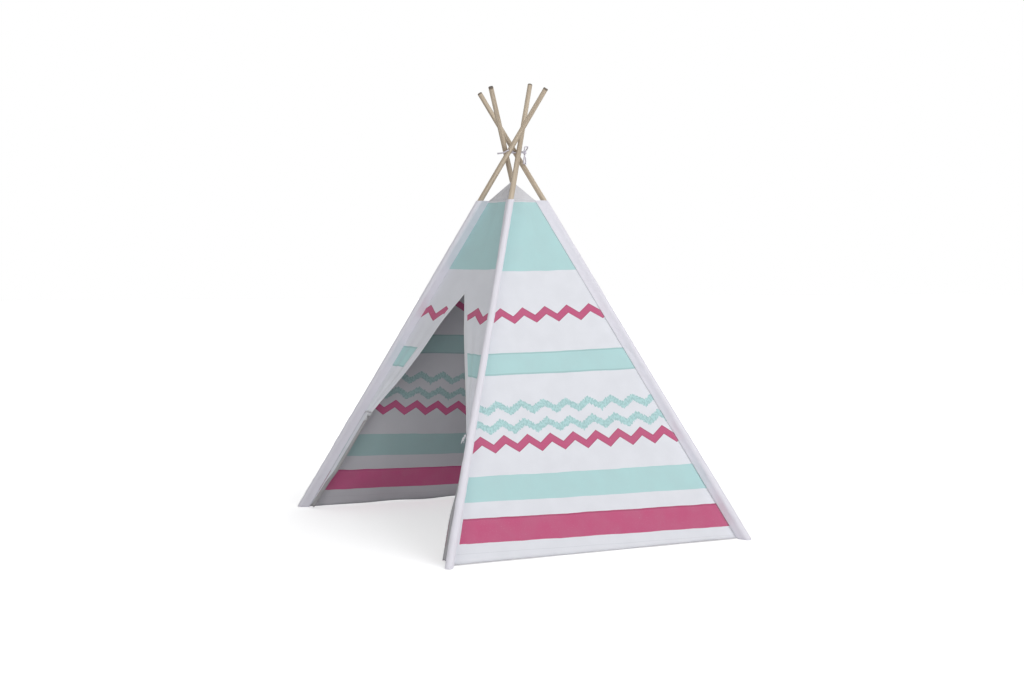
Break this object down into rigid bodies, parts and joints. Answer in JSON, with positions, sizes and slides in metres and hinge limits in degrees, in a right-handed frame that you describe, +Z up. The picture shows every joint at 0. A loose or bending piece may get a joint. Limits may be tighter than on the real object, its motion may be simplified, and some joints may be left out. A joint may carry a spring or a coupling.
{
  "type": "kids teepee",
  "caption": "Play tent on wooden poles lashed at the top, with a printed cotton cover, pole sleeves and a tied-back slit door.",
  "frame": {"origin": "on the floor, at the middle of the footprint, under the crossing of the poles", "axes": "+Z up, the slit door faces -Y, +X to the right of someone who faces the door"},
  "size_m": [1.2282, 1.2281, 1.5737],
  "materials": {
    "pole_wood": "sanded pine, no varnish",
    "ferrule_steel": "drawn steel tube",
    "cotton_cord": "twisted cotton",
    "sleeve_cotton": "plain woven cotton, off white with a cool tint",
    "printed_canvas": "off-white cotton canvas printed with mint bands and pink and mint zigzags",
    "plain_canvas": "plain cotton canvas",
    "ribbon": "white cotton tape"
  },
  "bodies": {
    "lashing": {"lashing_cord": "cotton_cord", "lashing_knot": "cotton_cord"},
    "pole_door_left": {"pole_door_left_lower": "pole_wood", "pole_door_left_middle": "pole_wood", "pole_door_left_upper": "pole_wood", "ferrule_door_left_lower": "ferrule_steel", "ferrule_door_left_upper": "ferrule_steel", "sleeve_door_left": "sleeve_cotton"},
    "pole_door_right": {"pole_door_right_lower": "pole_wood", "pole_door_right_middle": "pole_wood", "pole_door_right_upper": "pole_wood", "ferrule_door_right_lower": "ferrule_steel", "ferrule_door_right_upper": "ferrule_steel", "sleeve_door_right": "sleeve_cotton"},
    "pole_rear_right": {"pole_rear_right_lower": "pole_wood", "pole_rear_right_middle": "pole_wood", "pole_rear_right_upper": "pole_wood", "ferrule_rear_right_lower": "ferrule_steel", "ferrule_rear_right_upper": "ferrule_steel", "sleeve_rear_right": "sleeve_cotton"},
    "pole_rear_left": {"pole_rear_left_lower": "pole_wood", "pole_rear_left_middle": "pole_wood", "pole_rear_left_upper": "pole_wood", "ferrule_rear_left_lower": "ferrule_steel", "ferrule_rear_left_upper": "ferrule_steel", "sleeve_rear_left": "sleeve_cotton"},
    "door_panel": {"door_panel": "printed_canvas", "door_panel_gore": "plain_canvas", "door_leaf_left": "printed_canvas", "door_leaf_right": "printed_canvas"},
    "right_panel": {"right_panel": "printed_canvas", "right_panel_gore": "plain_canvas"},
    "back_panel": {"back_panel": "printed_canvas", "back_panel_gore": "plain_canvas"},
    "left_panel": {"left_panel": "printed_canvas", "left_panel_gore": "plain_canvas"},
    "door_flap_left": {"door_flap_left": "printed_canvas", "ribbon_left": "ribbon"},
    "door_flap_right": {"door_flap_right": "printed_canvas", "ribbon_right": "ribbon"}
  },
  "joints": [
    {"name": "pole_door_left_fold", "type": "hinge", "parent": "lashing", "child": "pole_door_left", "pos_m": [0.01648, -0.01744, 1.3188], "axis": [0.6868, -0.7268, 0], "range_deg": [0, 26], "deforming": ["sleeve_door_left", "sleeve_door_right", "sleeve_rear_right", "sleeve_rear_left"]},
    {"name": "pole_door_right_fold", "type": "hinge", "parent": "lashing", "child": "pole_door_right", "pos_m": [0.01557, 0.01826, 1.3132], "axis": [0.6488, 0.761, 0], "range_deg": [0, 26]},
    {"name": "pole_rear_right_fold", "type": "hinge", "parent": "lashing", "child": "pole_rear_right", "pos_m": [-0.01648, 0.01744, 1.3188], "axis": [-0.6868, 0.7268, 0], "range_deg": [0, 26]},
    {"name": "pole_rear_left_fold", "type": "hinge", "parent": "lashing", "child": "pole_rear_left", "pos_m": [-0.01744, -0.01648, 1.3132], "axis": [-0.7268, -0.6868, 0], "range_deg": [0, 26]},
    {"name": "door_panel_fold", "type": "hinge", "parent": "lashing", "child": "door_panel", "pos_m": [0, 0, 1.316], "axis": [0.995, 0.0995, 0], "range_deg": [0, 19.07], "deforming": ["door_panel", "door_panel_gore", "door_leaf_left", "door_leaf_right"]},
    {"name": "right_panel_fold", "type": "hinge", "parent": "lashing", "child": "right_panel", "pos_m": [0, 0, 1.316], "axis": [0, 1, 0], "range_deg": [0, 20.97], "deforming": ["right_panel", "right_panel_gore"]},
    {"name": "back_panel_fold", "type": "hinge", "parent": "lashing", "child": "back_panel", "pos_m": [0, 0, 1.316], "axis": [-1, 0, 0], "range_deg": [0, 19.98], "deforming": ["back_panel", "back_panel_gore"]},
    {"name": "left_panel_fold", "type": "hinge", "parent": "lashing", "child": "left_panel", "pos_m": [0, 0, 1.316], "axis": [0, -1, 0], "range_deg": [0, 19.98], "deforming": ["left_panel", "left_panel_gore"]},
    {"name": "door_flap_left_swing", "type": "hinge", "parent": "pole_door_left", "child": "door_flap_left", "pos_m": [-0.41444, -0.41444, 0.36], "axis": [0.3797, 0.3797, 0.8436], "range_deg": [-35, 25]},
    {"name": "door_flap_right_swing", "type": "hinge", "parent": "pole_door_right", "child": "door_flap_right", "pos_m": [0.41444, -0.33155, 0.36], "axis": [0.3899, -0.3119, -0.8664], "range_deg": [-35, 25]}
  ],
  "couplings": [
    {"joint": "pole_door_right_fold", "follows": "pole_door_left_fold", "ratio": 1},
    {"joint": "pole_rear_right_fold", "follows": "pole_door_left_fold", "ratio": 1},
    {"joint": "pole_rear_left_fold", "follows": "pole_door_left_fold", "ratio": 1},
    {"joint": "door_panel_fold", "follows": "pole_door_left_fold", "ratio": 0.722},
    {"joint": "right_panel_fold", "follows": "pole_door_left_fold", "ratio": 0.795},
    {"joint": "back_panel_fold", "follows": "pole_door_left_fold", "ratio": 0.757},
    {"joint": "left_panel_fold", "follows": "pole_door_left_fold", "ratio": 0.757}
  ]
}
